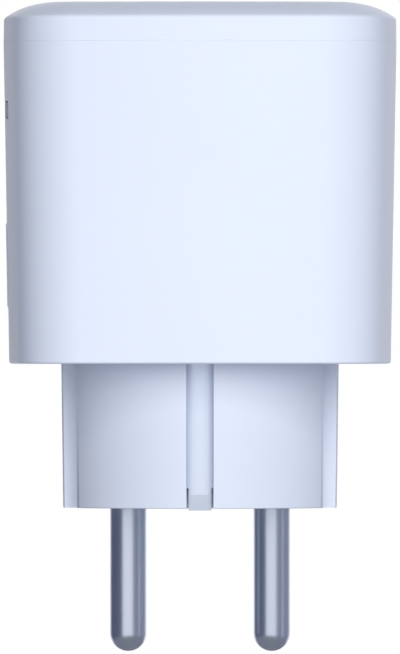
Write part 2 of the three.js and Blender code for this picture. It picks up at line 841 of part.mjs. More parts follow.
// Plug earth contacts: a strip with bevelled edges in the plug's groove, ending in a narrower sloped tongue
function plugEarthStrip() {
  const half = earthStripWidth / 2;
  const flat = half - earthStripBevel;
  const face = earthStripFaceY;
  const section = new THREE.Shape([
    new THREE.Vector2(-half, earthStripBackY),
    new THREE.Vector2(half, earthStripBackY),
    new THREE.Vector2(half, face - earthStripBevelDepth),
    new THREE.Vector2(flat, face),
    new THREE.Vector2(-flat, face),
    new THREE.Vector2(-half, face - earthStripBevelDepth),
  ]);
  const top = boardTopZ + pinTailProud;
  const strip = new THREE.ExtrudeGeometry(section, {
    depth: top - earthTongueHeight,
    bevelEnabled: false,
  });
  strip.translate(0, 0, earthTongueHeight);
  const tongueTop = earthTongueHeight + overrun / 2;
  const tongue = pulledAlongX(
    [
      [earthStripBackY, -earthTongueProud],
      [face - earthTongueSlope, -earthTongueProud],
      [face, earthTongueSlopeHeight],
      [face, tongueTop],
      [earthStripBackY, tongueTop],
    ],
    earthTongueWidth,
  );
  return solid(strip).add(tongue);
}
add(plugGroup, "plug_earth_strip_back", plugEarthStrip(), finishes.nickel);
add(plugGroup, "plug_earth_strip_front", turned(plugEarthStrip(), 180), finishes.nickel);

// The earth bar joins both strips between the flange and the board.
function earthBar() {
  const reach = earthStripBackY - closeGap;
  const z0 = flangeTopZ + fitGap;
  return block(-earthBarHalfWidth, earthBarHalfWidth, -reach, reach, z0, z0 + earthBarThickness);
}
add(plugGroup, "earth_bar", earthBar(), finishes.contact);

// Main board: a plate with holes for the pins' tails, the earth strips and the screws
function mainBoard() {
  const outline = roundedSquare(halfWidthBack, housingWall + boardInset);
  let board = tube(outline, boardBottomZ, boardTopZ);
  const z0 = boardBottomZ - overrun;
  const z1 = boardTopZ + overrun;
  for (const side of [-1, 1]) {
    board = board.subtract(upright(pinTailRadius + fitGap, side * pinX, 0, z0, z1));
    const y0 = side * (earthStripBackY - fitGap);
    const y1 = side * (earthStripFaceY + fitGap);
    const half = earthStripWidth / 2 + fitGap;
    board = board.subtract(block(-half, half, Math.min(y0, y1), Math.max(y0, y1), z0, z1));
  }
  for (const { x, y } of boardScrewPlaces()) {
    board = board.subtract(upright(screwShankRadius + fitGap, x, y, z0, z1));
  }
  // A notch in the edge leaves room for the button's flange and its travel.
  const notchX = -buttonFlangeBackX + buttonTravel + fitGap;
  const notchHalf = buttonFlangeRadius + fitGap;
  return board.subtract(block(-halfWidthBack, notchX, -notchHalf, notchHalf, z0, z1));
}
add(electronicsGroup, "main_board", mainBoard(), finishes.board);

for (const { name, x, y } of boardScrewPlaces()) {
  const body = screw(screwShankLength);
  place(electronicsGroup, name, body, finishes.steel, x, y, boardTopZ + closeGap);
}

// Relay: a sealed case with a drawn-in cap line
function relay() {
  const { x, y } = relayCorner;
  const stepZ = partsZ + relaySize.z - relayCapStep;
  const lower = block(x, x + relaySize.x, y, y + relaySize.y, partsZ, stepZ);
  const cap = block(
    x + relayCapInset,
    x + relaySize.x - relayCapInset,
    y + relayCapInset,
    y + relaySize.y - relayCapInset,
    partsZ,
    partsZ + relaySize.z,
  );
  return lower.add(cap);
}
add(electronicsGroup, "relay", relay(), finishes.relay);

add(
  electronicsGroup,
  "film_capacitor",
  standing(filmCapacitorSize, filmCapacitorCentre, partsZ),
  finishes.yellowFilm,
);

// Transformer: a wound bobbin with a core band round its middle
function transformer() {
  const bobbin = standing(transformerSize, transformerCentre, partsZ);
  const core = standing(
    {
      x: transformerCoreBand,
      y: transformerSize.y + 2 * transformerCoreProud,
      z: transformerSize.z + transformerCoreProud,
    },
    transformerCentre,
    partsZ,
  );
  return bobbin.add(core);
}
add(electronicsGroup, "transformer", transformer(), finishes.blackPlastic);

// A can standing on the board, with the crimp groove near its foot
function can({ radius, height, x, y }) {
  const foot = partsZ + crimpFoot;
  const groove = upright(radius + overrun, x, y, foot, foot + crimpWidth).subtract(
    upright(radius - crimpDepth, x, y, foot - overrun, foot + overrun),
  );
  return upright(radius, x, y, partsZ, partsZ + height).subtract(groove);
}
add(electronicsGroup, "bulk_capacitor", can(bulkCapacitor), finishes.aluminium);
add(electronicsGroup, "output_capacitor", can(outputCapacitor), finishes.aluminium);

// Line inductor: a drum core with a narrower winding between its flanges
function drumCore({ radius, height, x, y }) {
  const winding = upright(radius - windingDepth, x, y, partsZ, partsZ + height);
  const lower = upright(radius, x, y, partsZ, partsZ + drumFlange);
  const upper = upright(radius, x, y, partsZ + height - drumFlange, partsZ + height);
  return winding.add(lower).add(upper);
}
add(electronicsGroup, "line_inductor", drumCore(lineInductor), finishes.blackPlastic);

// Varistor: a round disc standing on its edge
function varistor() {
  const x0 = varistorCentre.x - varistorThickness / 2;
  const z = partsZ + varistorRadius;
  return sideways(varistorRadius, x0, x0 + varistorThickness, varistorCentre.y, z, pinSegments);
}
add(electronicsGroup, "varistor", varistor(), finishes.varistor);

// Fuse resistor: a round body standing on its end
function fuse() {
  const { radius, length, x, y } = fuseResistor;
  return upright(radius, x, y, partsZ, partsZ + length);
}
add(electronicsGroup, "fuse_resistor", fuse(), finishes.ceramic);

// Shunt: a bridge of resistance strip with a gap under it
function shunt() {
  const bridge = standing(shuntSize, shuntCentre, partsZ);
  const gap = block(
    shuntCentre.x - shuntSize.x / 2 + shuntThickness,
    shuntCentre.x + shuntSize.x / 2 - shuntThickness,
    shuntCentre.y - shuntSize.y / 2 - overrun,
    shuntCentre.y + shuntSize.y / 2 + overrun,
    partsZ - overrun,
    partsZ + shuntSize.z - shuntThickness,
  );
  return bridge.subtract(gap);
}
add(electronicsGroup, "current_shunt", shunt(), finishes.shunt);

add(
  electronicsGroup,
  "metering_chip",
  standing(meteringChipSize, meteringChipCentre, partsZ),
  finishes.blackPlastic,
);

// Control board, standing behind the button
function controlBoard() {
  return block(
    -controlBoardX - controlBoardThickness,
    -controlBoardX,
    -controlBoardHalfWidth,
    controlBoardHalfWidth,
    partsZ,
    partsZ + controlBoardHeight,
  );
}
add(controlGroup, "control_board", controlBoard(), finishes.board);

function switchBody() {
  const half = switchSize / 2;
  const body = block(switchFaceX, controlFaceX, -half, half, buttonZ - half, buttonZ + half);
  const bore = sideways(
    plungerRadius + fitGap,
    switchFaceX - overrun,
    switchFaceX + switchBoreDepth,
    0,
    buttonZ,
  );
  return body.subtract(bore);
}
add(controlGroup, "switch_body", switchBody(), finishes.blackPlastic);

const plungerFaceX = switchFaceX - plungerProud;
const plungerBackX = switchFaceX + switchBoreDepth - buttonTravel - fitGap;

function switchPlunger() {
  return sideways(plungerRadius, plungerFaceX, plungerBackX, 0, buttonZ);
}
add(controlGroup, "switch_plunger", switchPlunger(), finishes.plug);

// Push button: a round cap that follows the wall, a flange behind the wall and a post to the switch
function pushButton() {
  const skin = housingForm(-buttonProud, insideZ, partingZ);
  const cap = sideways(
    buttonRadius,
    -halfWidthParting - overrun,
    -buttonFlangeBackX,
    0,
    buttonZ,
    pinSegments,
  ).intersect(skin);
  const flange = sideways(
    buttonFlangeRadius,
    -buttonFlangeFaceX,
    -buttonFlangeBackX,
    0,
    buttonZ,
    pinSegments,
  );
  const post = sideways(
    plungerRadius + fitGap,
    -buttonFlangeFaceX,
    plungerFaceX - closeGap,
    0,
    buttonZ,
  );
  return cap.add(flange).add(post);
}
add(controlGroup, "push_button", pushButton(), finishes.button);

// Light pipe: the window bar in the wall, the stem down the wall and the foot facing the lamp
function lightPipe() {
  const halfBar = windowBarWidth / 2;
  const halfHeight = windowBarHeight / 2;
  const stemOuterX = -insideHalfWidth;
  const stemInnerX = stemOuterX + pipeStemThickness;
  const half = pipeStemWidth / 2;
  const skin = housingForm(closeGap / 2, insideZ, partingZ);
  const bar = block(
    -halfWidthParting,
    stemInnerX,
    -halfBar,
    halfBar,
    windowZ - halfHeight,
    windowZ + halfHeight,
  ).intersect(skin);
  const stem = block(stemOuterX, stemInnerX, -half, half, pipeFootZ, windowZ);
  const footX = controlFaceX - lampSize.x - fitGap;
  const footTop = pipeFootZ + pipeFootHeight;
  const foot = block(stemOuterX, footX, -half, half, pipeFootZ, footTop);
  return bar.add(stem).add(foot);
}
add(controlGroup, "indicator_light_pipe", lightPipe(), finishes.lens);

// Indicator lamp on the control board
function lamp() {
  const z = pipeFootZ + pipeFootHeight / 2;
  return block(
    controlFaceX - lampSize.x,
    controlFaceX,
    -lampSize.y / 2,
    lampSize.y / 2,
    z - lampSize.z / 2,
    z + lampSize.z / 2,
  );
}
add(controlGroup, "indicator_lamp", lamp(), finishes.lamp);

// Radio module on the control board's inner side, with its shield can
const radioBackX = -controlBoardX + closeGap;
const radioMiddleZ = partsZ + controlBoardHeight / 2;

function radioModule() {
  return block(
    radioBackX,
    radioBackX + radioModuleSize.x,
    -radioModuleSize.y / 2,
    radioModuleSize.y / 2,
    radioMiddleZ - radioModuleSize.z / 2,
    radioMiddleZ + radioModuleSize.z / 2,
  );
}
add(controlGroup, "radio_module", radioModule(), finishes.board);

function radioCan() {
  const x0 = radioBackX + radioModuleSize.x + closeGap;
  return block(
    x0,
    x0 + radioCanSize.x,
    -radioCanSize.y / 2,
    radioCanSize.y / 2,
    radioMiddleZ - radioCanSize.z / 2,
    radioMiddleZ + radioCanSize.z / 2,
  );
}
add(controlGroup, "radio_shield_can", radioCan(), finishes.steel);

export default meter;
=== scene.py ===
import math

import bmesh
import bpy
from mathutils import Matrix, Vector


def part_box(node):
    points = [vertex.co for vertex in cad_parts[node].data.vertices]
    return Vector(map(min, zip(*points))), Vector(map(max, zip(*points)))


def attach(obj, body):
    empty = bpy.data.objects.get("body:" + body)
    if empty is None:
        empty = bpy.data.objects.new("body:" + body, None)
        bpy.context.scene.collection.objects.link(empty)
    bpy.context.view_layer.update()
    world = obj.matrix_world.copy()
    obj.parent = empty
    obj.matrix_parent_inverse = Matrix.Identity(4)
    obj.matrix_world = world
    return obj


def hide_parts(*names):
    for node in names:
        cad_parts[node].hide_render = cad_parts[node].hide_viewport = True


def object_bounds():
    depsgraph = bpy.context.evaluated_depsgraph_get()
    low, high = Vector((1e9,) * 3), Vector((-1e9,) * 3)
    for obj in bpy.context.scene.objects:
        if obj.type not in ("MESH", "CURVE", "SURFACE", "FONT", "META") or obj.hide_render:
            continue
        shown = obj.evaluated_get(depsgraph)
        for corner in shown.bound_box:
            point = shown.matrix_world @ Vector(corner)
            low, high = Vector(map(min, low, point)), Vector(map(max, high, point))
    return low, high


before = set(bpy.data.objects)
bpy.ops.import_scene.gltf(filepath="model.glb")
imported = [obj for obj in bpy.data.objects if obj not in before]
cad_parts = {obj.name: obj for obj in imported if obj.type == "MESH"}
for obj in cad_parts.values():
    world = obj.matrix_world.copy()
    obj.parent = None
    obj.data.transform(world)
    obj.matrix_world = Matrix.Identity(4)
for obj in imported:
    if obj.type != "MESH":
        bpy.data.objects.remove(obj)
cad_low, cad_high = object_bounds()

# Studio
# Two large soft lamps in front, one above and behind, and a blue-white surround light the meter.
# Unseen cards shade its sides and metal: a dark one at the left, two grey at the right, one above.
scene = bpy.context.scene
scene.view_settings.view_transform = "Standard"

picture_height = 654
pixels_per_mm = 7.585
centre_column_mm = 0
centre_height_mm = 23.89
true_scale_depth_mm = 10
lens_mm = 1000
sensor_mm = 36
far_clip_m = 20

camera = bpy.data.objects.new("camera", bpy.data.cameras.new("camera"))
scene.collection.objects.link(camera)
scene.camera = camera
camera.data.lens = lens_mm
camera.data.sensor_width = sensor_mm
camera.data.clip_end = far_clip_m
view_height_mm = picture_height / pixels_per_mm
distance_mm = lens_mm * view_height_mm / sensor_mm + true_scale_depth_mm
camera.location = Vector((centre_column_mm, -distance_mm, centre_height_mm)) / 1000
camera.rotation_euler = (math.radians(90), 0, 0)


def lamp(name, place, target, size, power, colour):
    """Adds a square soft lamp that faces a point."""
    light = bpy.data.lights.new(name, "AREA")
    light.size = size
    light.energy = power
    light.color = colour
    holder = bpy.data.objects.new(name, light)
    holder.visible_glossy = False
    holder.location = place
    holder.rotation_euler = (Vector(target) - Vector(place)).to_track_quat("-Z", "Y").to_euler()
    scene.collection.objects.link(holder)


middle = (0, 0, 0.025)
cool_white = (0.98, 0.985, 1.0)
lamp("key_lamp", (0.17, -0.95, 0.4), middle, 0.7, 5.7, cool_white)
lamp("front_lamp", (-0.02, -1.1, 0.0), middle, 0.9, 4.0, cool_white)
lamp("back_lamp", (0.05, 0.95, 0.45), middle, 0.5, 6.0, cool_white)

surround_light = (0.38, 0.405, 0.485)
surround_seen = (1, 1, 1)
world = bpy.data.worlds.new("surround")
scene.world = world
world.use_nodes = True
air = world.node_tree
air.nodes.clear()
rays = air.nodes.new("ShaderNodeLightPath")
seen = air.nodes.new("ShaderNodeMath")
seen.operation = "MAXIMUM"
mirrored = air.nodes.new("ShaderNodeMath")
mirrored.operation = "MAXIMUM"
shade = air.nodes.new("ShaderNodeMix")
shade.data_type = "RGBA"
shade.inputs["A"].default_value = (*surround_light, 1)
shade.inputs["B"].default_value = (*surround_seen, 1)
background = air.nodes.new("ShaderNodeBackground")
out = air.nodes.new("ShaderNodeOutputWorld")
air.links.new(rays.outputs["Is Camera Ray"], seen.inputs[0])
air.links.new(rays.outputs["Is Transmission Ray"], seen.inputs[1])
air.links.new(seen.outputs[0], mirrored.inputs[0])
air.links.new(rays.outputs["Is Glossy Ray"], mirrored.inputs[1])
air.links.new(mirrored.outputs[0], shade.inputs["Factor"])
air.links.new(shade.outputs["Result"], background.inputs["Color"])
air.links.new(background.outputs[0], out.inputs["Surface"])


def plain_finish(name, colour):
    """A matt paint for the floor and the cards."""
    paint = bpy.data.materials.new(name)
    paint.use_nodes = True
    surface = paint.node_tree.nodes["Principled BSDF"]
    surface.inputs["Base Color"].default_value = (*colour, 1)
    surface.inputs["Roughness"].default_value = 0.9
    surface.inputs["Specular IOR Level"].default_value = 0.1
    return paint


floor_drop = 0.015
floor_radius = 0.052
floor_light = (0.38, 0.38, 0.375)
floor_seen = (0.9, 0.9, 0.9)
bpy.ops.object.select_all(action="DESELECT")
bpy.ops.mesh.primitive_circle_add(
    vertices=96, radius=floor_radius, fill_type="NGON", location=(0, 0, cad_low.z - floor_drop)
)
floor = bpy.context.object
floor.name = "floor"
floor_paint = plain_finish("floor_paint", floor_seen)
ground = floor_paint.node_tree
ground_rays = ground.nodes.new("ShaderNodeLightPath")
ground_shade = ground.nodes.new("ShaderNodeMix")
ground_shade.data_type = "RGBA"
ground_shade.inputs["A"].default_value = (*floor_light, 1)
ground_shade.inputs["B"].default_value = (*floor_seen, 1)
ground.links.new(ground_rays.outputs["Is Camera Ray"], ground_shade.inputs["Factor"])
ground.links.new(
    ground_shade.outputs["Result"], ground.nodes["Principled BSDF"].inputs["Base Color"]
)
floor.data.materials.append(floor_paint)

for name, place, turn, width, depth, colour in (
    ("dark_card", (-0.3, -0.02, 0), 90, 0.55, 0.75, (0.18, 0.197, 0.25)),
    ("front_grey_card", (0.34, -0.37, 0), 90, 0.55, 0.5, (0.465, 0.47, 0.495)),
    ("back_grey_card", (0.34, 0.135, 0), 90, 0.55, 0.44, (0.56, 0.575, 0.65)),
    ("top_card", (0, -0.05, 0.38), 0, 0.45, 0.75, (0.03, 0.05, 0.1)),
):
    bpy.ops.object.select_all(action="DESELECT")
    bpy.ops.mesh.primitive_plane_add(size=1, location=place)
    card = bpy.context.object
    card.name = name
    card.rotation_euler = (0, math.radians(turn), 0)
    card.scale = (width, depth, 1)
    card.visible_camera = False
    card.data.materials.append(plain_finish(name + "_paint", colour))


# Housing shell
# The moulded case of cool white plastic, a rounded square with bulging walls that widen upwards.
# Its outline is swung in arcs, drawn upwards, hollowed, and cut for plug, button and window.
class Signal:
    """A socket of a finish. Sums and products on it add Math nodes."""

    def __init__(self, finish, socket):
        self.finish = finish
        self.socket = socket

    def reckon(self, operation, first, second):
        return self.finish.node("ShaderNodeMath", {"operation": operation}, {0: first, 1: second})

    def __add__(self, other):
        return self.reckon("ADD", self, other)

    def __radd__(self, other):
        return self.reckon("ADD", other, self)

    def __mul__(self, other):
        return self.reckon("MULTIPLY", self, other)


class Finish:
    """A material whose nodes are added one call at a time."""

    def __init__(self, name, settings):
        self.material = bpy.data.materials.new(name)
        self.material.use_nodes = True
        self.tree = self.material.node_tree
        self.surface = self.tree.nodes["Principled BSDF"]
        for socket, value in settings.items():
            self.feed(self.surface.inputs[socket], value)

    def feed(self, socket, value):
        if isinstance(value, Signal):
            self.tree.links.new(value.socket, socket)
        elif isinstance(value, tuple) and len(value) == 3 and socket.type == "RGBA":
            socket.default_value = (*value, 1)
        else:
            socket.default_value = value

    def node(self, kind, settings=None, inputs=None, output=0):
        made = self.tree.nodes.new(kind)
        for key, value in (settings or {}).items():
            setattr(made, key, value)
        for key, value in (inputs or {}).items():
            self.feed(made.inputs[key], value)
        return Signal(self, made.outputs[output])

    def place(self):
        return self.node("ShaderNodeTexCoord", output="Object")

    def noise(self, scale, detail=2.0, roughness=0.5):
        return self.node(
            "ShaderNodeTexNoise",
            None,
            {"Vector": self.place(), "Scale": scale, "Detail": detail, "Roughness": roughness},
        )

    def mix(self, share, first, second):
        return self.node(
            "ShaderNodeMix",
            {"data_type": "RGBA"},
            {"Factor": share, "A": first, "B": second},
            "Result",
        )

    def bump(self, height, distance):
        relief = self.node("ShaderNodeBump", None, {"Height": height, "Distance": distance})
        self.feed(self.surface.inputs["Normal"], relief)


def moulded(name, colour, roughness):
    """Satin moulded plastic with a faint cloudy tone, uneven gloss and a very fine eroded grain."""
    deeper_share = 0.975
    uneven = 0.06
    grain = 0.000004
    finish = Finish(name, {"IOR": 1.46, "Specular IOR Level": 0.45})
    clouds = finish.noise(55, 3)
    deeper = tuple(c * deeper_share for c in colour)
    finish.feed(finish.surface.inputs["Base Color"], finish.mix(clouds, deeper, colour))
    speckle = finish.noise(2600, 2)
    finish.feed(finish.surface.inputs["Roughness"], roughness - uneven / 2 + speckle * uneven)
    finish.bump(finish.noise(5200, 2, 0.6), grain)
    return finish.material


def choose(piece, kind, test):
    """In edit mode, selects the faces, edges or vertices whose middle passes a test."""
    modes = {"faces": "FACE", "edges": "EDGE", "verts": "VERT"}
    bpy.ops.mesh.select_mode(type=modes[kind])
    bpy.ops.mesh.select_all(action="DESELECT")
    mesh = bmesh.from_edit_mesh(piece.data)
    for item in getattr(mesh, kind):
        corners = [item] if kind == "verts" else item.verts
        centre = sum((v.co for v in corners), Vector()) / len(corners)
        item.select_set(bool(test(centre)))
    mesh.select_flush_mode()
    bmesh.update_edit_mesh(piece.data)


def first_point(place):
    """Starts a mesh in edit mode with one selected point."""
    bpy.ops.object.select_all(action="DESELECT")
    bpy.ops.mesh.primitive_plane_add()
    piece = bpy.context.object
    bpy.ops.object.mode_set(mode="EDIT")
    bpy.ops.mesh.select_mode(type="VERT")
    bpy.ops.mesh.select_all(action="SELECT")
    bpy.ops.mesh.merge(type="CENTER")
    bpy.ops.transform.translate(value=place)
    return piece


wall_steps = 12
corner_steps = 24
corner_radius = 0.01
bulge_radius = 0.095
hair = 0.00001


def rounded_square(half, inset, level):
    """Draws a filled rounded square with bulging walls by swinging a point along its arcs."""
    bulge_centre = bulge_radius - half
    reach = bulge_radius - corner_radius
    corner = (math.sqrt(2 * reach**2 - bulge_centre**2) - bulge_centre) / 2
    turn = math.atan2(corner, corner + bulge_centre)
    arcs = (
        (Vector((-bulge_centre, 0, level)), turn, wall_steps),
        (Vector((corner, corner, level)), math.pi / 2 - 2 * turn, corner_steps),
        (Vector((0, -bulge_centre, level)), turn, wall_steps),
    )
    piece = first_point((half - inset, 0, level))
    for quarter in range(4):
        round_z = Matrix.Rotation(quarter * math.pi / 2, 3, "Z")
        for centre, angle, steps in arcs:
            bpy.ops.mesh.spin(steps=steps, angle=angle, center=round_z @ centre, axis=(0, 0, -1))
    bpy.ops.mesh.select_all(action="SELECT")
    bpy.ops.mesh.remove_doubles(threshold=hair)
    bpy.ops.mesh.edge_face_add()
    return piece


def draw_up(height, ratio=1.0):
    """Extrudes what is selected along Z, and scales the new end about the Z axis."""
    bpy.ops.mesh.extrude_region_move(TRANSFORM_OT_translate={"value": (0, 0, height)})
    bpy.ops.transform.resize(value=(ratio, ratio, 1), center_override=(0, 0, 0))


def face_outwards():
    bpy.ops.mesh.select_all(action="SELECT")
    bpy.ops.mesh.normals_make_consistent(inside=False)


def cut(piece, tool, operation="DIFFERENCE"):
    """Cuts a piece with another, or joins them, and deletes the tool."""
    bpy.ops.object.select_all(action="DESELECT")
    bpy.context.view_layer.objects.active = piece
    piece.select_set(True)
    step = piece.modifiers.new("cut", "BOOLEAN")
    step.operation = operation
    step.solver = "EXACT"
    step.object = tool
    bpy.ops.object.modifier_apply(modifier=step.name)
    bpy.data.objects.remove(tool)


def round_bar(radius, start, end, corners=64):
    """A round bar from one point to another, as a cutting tool or a start for a piece."""
    along = Vector(end) - Vector(start)
    bpy.ops.object.select_all(action="DESELECT")
    bpy.ops.mesh.primitive_cylinder_add(
        vertices=corners,
        radius=radius,
        depth=along.length,
        location=(Vector(start) + Vector(end)) / 2,
        rotation=along.to_track_quat("Z", "Y").to_euler(),
    )
    bpy.ops.object.transform_apply(location=True, rotation=True, scale=True)
    return bpy.context.object


def span(side, near, far):
    """The lower and the upper end of a stretch on one side of the middle, given as -1 or 1."""
    return sorted((side * near, side * far))


def slab(low, high):
    """A square-edged block between two corners, as a cutting tool or a start for a piece."""
    low = Vector(low)
    high = Vector(high)
    bpy.ops.object.select_all(action="DESELECT")
    bpy.ops.mesh.primitive_cube_add(size=1, location=(low + high) / 2, scale=high - low)
    bpy.ops.object.transform_apply(location=True, rotation=True, scale=True)
    return bpy.context.object


def bevel_edges(piece, width, segments, test):
    """Rounds the edges whose middle passes a test."""
    bpy.ops.object.select_all(action="DESELECT")
    bpy.context.view_layer.objects.active = piece
    piece.select_set(True)
    bpy.ops.object.mode_set(mode="EDIT")
    choose(piece, "edges", test)
    bpy.ops.mesh.bevel(offset=width, offset_type="OFFSET", segments=segments, affect="EDGES")
    bpy.ops.object.mode_set(mode="OBJECT")


def finish_piece(piece, name, body, node, material, angle=32):
    """Merges doubled points, smooths a piece, gives it its material, a name and a body, and hides
    the part it stands for.
    """
    bpy.ops.object.select_all(action="DESELECT")
    bpy.context.view_layer.objects.active = piece
    piece.select_set(True)
    bpy.ops.object.mode_set(mode="EDIT")
    bpy.ops.mesh.select_all(action="SELECT")
    bpy.ops.mesh.remove_doubles(threshold=same_point)
    bpy.ops.object.mode_set(mode="OBJECT")
    bpy.ops.object.shade_smooth_by_angle(angle=math.radians(angle))
    even = piece.modifiers.new("even", "WEIGHTED_NORMAL")
    even.keep_sharp = True
    bpy.ops.object.modifier_apply(modifier=even.name)
    piece.name = name
    piece.data.name = name
    piece.data.materials.clear()
    piece.data.materials.append(material)
    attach(piece, body)
    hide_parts(node)


shell_low, shell_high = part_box("housing_shell")
half_back = 0.02525
half_parting = 0.026
back_z = shell_low.z
parting_z = shell_high.z
wall = 0.002
clear = 0.001
same_point = 0.0000005
back_edge_radius = 0.00035
parting_chamfer = 0.00005


def case_form(inset, bottom, top):
    """The housing's outer form between two levels, drawn in by an inset."""
    slope = (half_parting - half_back) / (parting_z - back_z)
    half_bottom = half_back + slope * (bottom - back_z)
    half_top = half_back + slope * (top - back_z)
    form = rounded_square(half_bottom, inset, bottom)
    draw_up(top - bottom, (half_top - inset) / (half_bottom - inset))
    face_outwards()
    bpy.ops.object.mode_set(mode="OBJECT")
    return form


shell = case_form(0, back_z, parting_z)
bevel_edges(shell, back_edge_radius, 4, lambda p: abs(p.z - back_z) < hair)
bevel_edges(shell, parting_chamfer, 1, lambda p: abs(p.z - parting_z) < hair)
cut(shell, case_form(wall, back_z + wall, parting_z + clear))

plug_root_radius = 0.01855
plug_gap = 0.0001
plug_hole = plug_root_radius + plug_gap
cut(shell, round_bar(plug_hole, (0, 0, back_z - clear), (0, 0, back_z + wall + clear), 128))

button_low, button_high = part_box("push_button")
button_z = (button_low.z + button_high.z) / 2
button_radius = 0.0056
button_gap = 0.00012
button_hole = button_radius + button_gap
outside_x = -half_parting - clear
inside_x = -half_back + wall + clear
cut(shell, round_bar(button_hole, (outside_x, 0, button_z), (inside_x, 0, button_z), 96))

pipe_low, pipe_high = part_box("indicator_light_pipe")
window_half_width = pipe_high.y
window_top = pipe_high.z
window_height = 0.00195
window_gap = 0.00022
cut(
    shell,
    slab(
        (outside_x, -window_half_width - window_gap, window_top - window_height - window_gap),
        (inside_x - clear, window_half_width + window_gap, window_top + window_gap),
    ),
)
white = (0.8, 0.85, 0.94)
shell_plastic = moulded("shell_plastic", white, 0.42)
finish_piece(shell, "case_shell", "meter", "housing_shell", shell_plastic)

# Socket cover
# The crowned rim of the same white plastic, with the wall of the socket's well moulded on to it.
# The rim is drawn in along an arc, the well is bored, then ribs and slots for the clips are added.
cover_low, cover_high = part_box("socket_cover")
top_z = cover_high.z
crown_radius = 0.0098
crown_width = 0.0059
crown_steps = 14
half_crown_edge = 0.02595
well_radius = 0.01975
well_wall = 0.0015
skirt_inset = 0.0023
skirt_wall = 0.0014
skirt_depth = 0.003
roof = 0.0025
crown_edge_radius = 0.00025
sweep = math.asin(crown_width / crown_radius)
crown_edge_z = top_z - crown_radius * (1 - math.cos(sweep))

cover = rounded_square(half_parting, 0, parting_z)
draw_up(crown_edge_z - parting_z, half_crown_edge / half_parting)
face_outwards()
choose(cover, "faces", lambda p: abs(p.z - crown_edge_z) < hair)
for step in range(crown_steps):
    before = sweep * (1 - step / crown_steps)
    after = sweep * (1 - (step + 1) / crown_steps)
    bpy.ops.mesh.inset(
        thickness=crown_radius * (math.sin(before) - math.sin(after)),
        depth=crown_radius * (math.cos(after) - math.cos(before)),
        use_even_offset=True,
    )
choose(cover, "faces", lambda p: abs(p.z - parting_z) < hair)
bpy.ops.mesh.inset(thickness=skirt_inset, depth=0, use_even_offset=True)
draw_up(-skirt_depth)
bpy.ops.object.mode_set(mode="OBJECT")


def at_outline(p):
    """Tells the outline at the walls and corners from the skirt within it."""
    at_wall = max(abs(p.x), abs(p.y)) > half_parting - skirt_inset / 2
    at_corner = p.xy.length > half_parting + clear
    return at_wall or at_corner


bevel_edges(cover, crown_edge_radius, 3, lambda p: abs(p.z - crown_edge_z) < hair and at_outline(p))
bevel_edges(cover, parting_chamfer, 1, lambda p: abs(p.z - parting_z) < hair and at_outline(p))

bpy.ops.object.mode_set(mode="EDIT")
bpy.ops.mesh.select_all(action="SELECT")
bpy.ops.mesh.quads_convert_to_tris()
bpy.ops.object.mode_set(mode="OBJECT")

skirt_bottom = parting_z - skirt_depth
well_outer = well_radius + well_wall
cut(cover, round_bar(well_outer, (0, 0, cover_low.z), (0, 0, top_z - roof / 2), 128), "UNION")
hollow = rounded_square(half_parting, skirt_inset + skirt_wall, skirt_bottom - clear)
draw_up(top_z - roof - skirt_bottom + clear)
face_outwards()
bpy.ops.object.mode_set(mode="OBJECT")
cut(hollow, round_bar(well_outer, (0, 0, cover_low.z), (0, 0, top_z), 128))
cut(cover, hollow)
rim_fillet = 0.0004
rim_steps = 5
bore_top = top_z - rim_fillet
bore = round_bar(well_radius, (0, 0, cover_low.z - clear), (0, 0, bore_top), 128)
bpy.ops.object.mode_set(mode="EDIT")
choose(bore, "faces", lambda p: abs(p.z - bore_top) < hair)
here = Vector((well_radius, 0))
for step in range(1, rim_steps + 1):
    turned = math.radians(90) * step / rim_steps
    widened = well_radius + rim_fillet * (1 - math.cos(turned))
    there = Vector((widened, rim_fillet * math.sin(turned)))
    draw_up(there.y - here.y, there.x / here.x)
    here = there
draw_up(clear)
bpy.ops.object.mode_set(mode="OBJECT")
cut(cover, bore)

floor_low, floor_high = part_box("socket_floor")
well_floor_z = floor_high.z
rib_half = 0.0024
rib_reach = 0.0023
rib_above_floor = 0.0003
rib_below_top = 0.0016
rib_edge_radius = 0.0005
slot_half = 0.0032
slot_below_top = 0.0022
rib_bottom = well_floor_z + rib_above_floor
rib_top = top_z - rib_below_top
slot_bottom = cover_low.z - clear
slot_top = top_z - slot_below_top
for side in (-1, 1):
    rib_x = span(side, well_radius - rib_reach, well_radius + well_wall / 2)
    rib = slab((rib_x[0], -rib_half, rib_bottom), (rib_x[1], rib_half, rib_top))
    bevel_edges(rib, rib_edge_radius, 3, lambda p: abs(p.x) < well_radius - rib_reach + hair)
    cut(cover, rib, "UNION")
    slot_y = span(side, well_radius - well_wall, well_outer + clear / 2)
    cut(cover, slab((-slot_half, slot_y[0], slot_bottom), (slot_half, slot_y[1], slot_top)))
finish_piece(cover, "cover_with_well", "meter", "socket_cover", shell_plastic)

# Well floor
# The round plate at the bottom of the well, of the same plastic, with two funnelled contact holes.
# A bored disc on a ring, with posts under it for the cassette's screws and the shutter's pivot.
pin_x = 0.0095
contact_hole = 0.003
floor_gap = 0.00015
floor_thickness = 0.002
plate_radius = well_radius - floor_gap
plate_bottom = well_floor_z - floor_thickness
well_floor = round_bar(plate_radius, (0, 0, plate_bottom), (0, 0, well_floor_z), 128)
ring_lift = 0.0006
ring_drop = 0.0023
ring_bottom = floor_low.z + ring_lift
ring_top = well_floor_z - ring_drop
cut(well_floor, round_bar(well_outer, (0, 0, ring_bottom), (0, 0, ring_top), 128), "UNION")
shutter_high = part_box("shutter")[1]
shutter_room = 0.0157
under_floor = floor_low.z - clear
cut(well_floor, round_bar(shutter_room, (0, 0, under_floor), (0, 0, shutter_high.z), 128))
pivot_radius = 0.0017
in_plate = well_floor_z - floor_thickness / 2
cut(well_floor, round_bar(pivot_radius, (0, 0, floor_low.z), (0, 0, in_plate), 32), "UNION")
